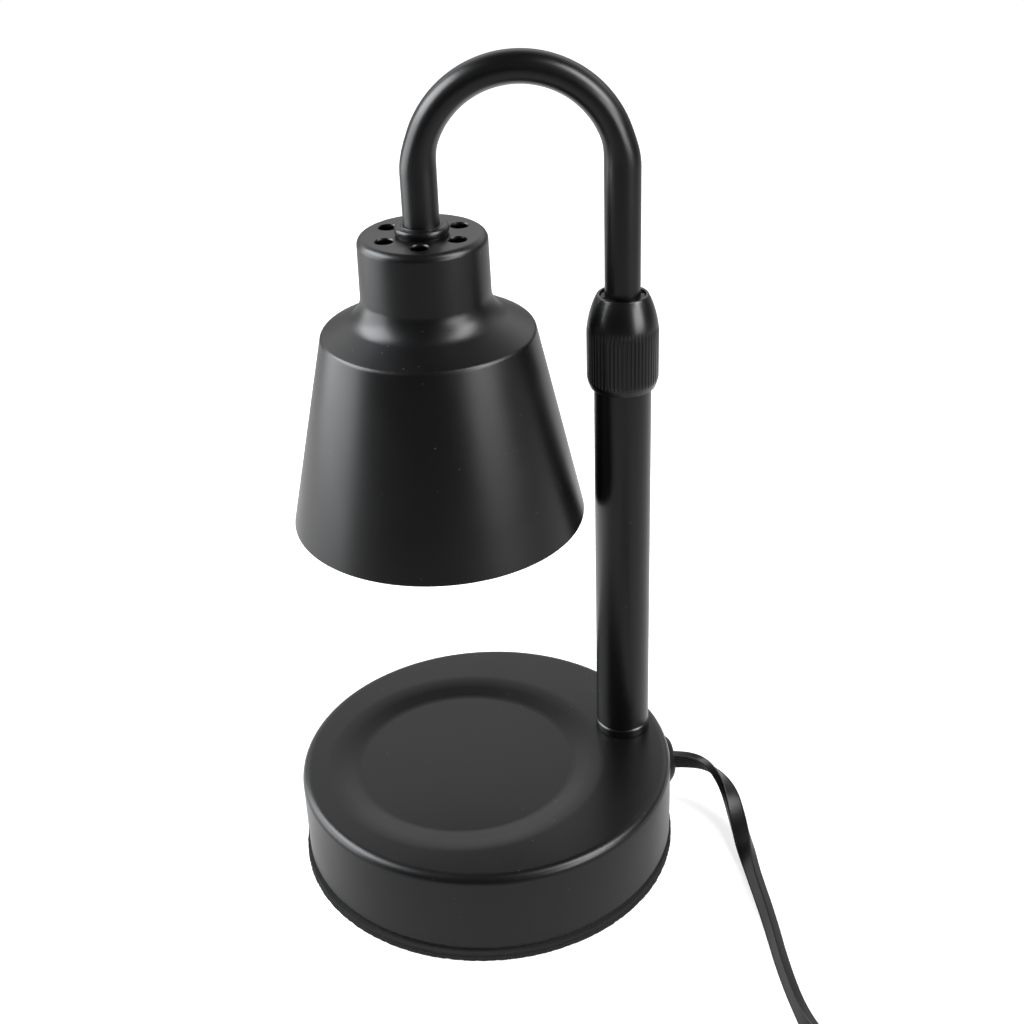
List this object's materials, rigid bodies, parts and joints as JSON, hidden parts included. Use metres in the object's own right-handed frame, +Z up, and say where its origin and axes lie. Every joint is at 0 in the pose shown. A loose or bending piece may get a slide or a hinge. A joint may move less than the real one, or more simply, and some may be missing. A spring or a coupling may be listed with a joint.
{
  "type": "candle warmer lamp",
  "caption": "Candle warmer lamp: round weighted base, telescoping post with a clamp nut, swivelling U-bent arm and a vented shade over a dished candle seat, with a dimmer on its cord.",
  "frame": {"origin": "on the surface that the lamp stands on, on the axis of the round base shell", "axes": "+Z up, +Y from the base's centre to the post, -Y the lamp's front"},
  "size_m": [0.3507, 0.1778, 0.319],
  "materials": {
    "satin_powder_coat": "black satin powder coat",
    "satin_lacquer": "black semi-gloss paint",
    "gloss_lacquer": "black gloss paint",
    "black_foam": "black closed-cell foam",
    "zinc_steel": "zinc-plated steel",
    "cast_ballast": "rough cast iron",
    "black_nylon": "black moulded nylon",
    "white_nylon": "white moulded nylon",
    "black_pvc": "black flexible PVC",
    "black_abs": "black moulded ABS",
    "circuit_board": "green circuit board",
    "brass": "nickel-plated or plain brass",
    "ceramic": "white unglazed ceramic",
    "reflector_glass": "aluminised pressed glass",
    "clear_glass": "clear glass"
  },
  "bodies": {
    "base": {"base_shell": "satin_powder_coat", "shell_studs": "zinc_steel", "bottom_plate": "zinc_steel", "plate_screws": "zinc_steel", "foot_pad": "black_foam", "ballast_weight": "cast_ballast", "ballast_screws": "zinc_steel", "post_foot_ring": "gloss_lacquer", "post_nipple": "zinc_steel", "post_washer": "zinc_steel", "post_nut": "zinc_steel", "outer_tube": "satin_lacquer", "collet": "black_nylon", "strain_relief": "black_nylon", "terminal_block": "white_nylon", "terminal_screws": "zinc_steel", "cord_tail": "black_pvc", "base_lead": "black_pvc", "slack_lead": "black_pvc", "cord_run": "black_pvc", "cord_link": "black_pvc", "cord_coil": "black_pvc", "coil_tie": "black_nylon", "cord_end": "black_pvc", "dimmer_base": "black_abs", "dimmer_cover": "black_abs", "dimmer_screws": "zinc_steel", "dimmer_board": "circuit_board", "dimmer_pot": "black_nylon", "plug_body": "black_pvc", "plug_blades": "brass"},
    "lock_nut": {"lock_nut": "gloss_lacquer"},
    "carrier": {"guide_bush": "black_nylon"},
    "arm": {"guide_rings": "zinc_steel", "inner_tube": "satin_lacquer", "end_bushing": "black_nylon", "arm_lead": "black_pvc", "shade": "satin_powder_coat", "shade_collar": "gloss_lacquer", "arm_nipple": "zinc_steel", "shade_washer": "zinc_steel", "shade_nut": "zinc_steel", "holder_bracket": "zinc_steel", "holder_screws": "zinc_steel", "lampholder": "ceramic"},
    "bulb": {"bulb_pins": "brass", "bulb_base": "ceramic", "bulb_reflector": "reflector_glass", "bulb_lens": "clear_glass", "bulb_capsule": "clear_glass"},
    "dimmer_knob": {"dimmer_knob": "black_abs"}
  },
  "joints": [
    {"name": "height_slide", "type": "slide", "parent": "base", "child": "carrier", "axis": [0, 0, 1], "range_m": [-0.04, 0.07], "deforming": ["slack_lead"]},
    {"name": "arm_swivel", "type": "hinge", "parent": "carrier", "child": "arm", "pos_m": [0, 0.0594, 0], "axis": [0, 0, 1], "range_deg": [-72, 108]},
    {"name": "lock_nut_turn", "type": "hinge", "parent": "base", "child": "lock_nut", "pos_m": [0, 0.0594, 0], "axis": [0, 0, 1], "range_deg": [0, 180]},
    {"name": "bulb_twist", "type": "hinge", "parent": "arm", "child": "bulb", "pos_m": [-0.02182, -0.00775, 0], "axis": [0, 0, -1], "range_deg": [0, 40]},
    {"name": "dimmer_turn", "type": "hinge", "parent": "base", "child": "dimmer_knob", "pos_m": [0.1949, 0.0724, 0], "axis": [0, 0, -1], "range_deg": [0, 270]}
  ]
}
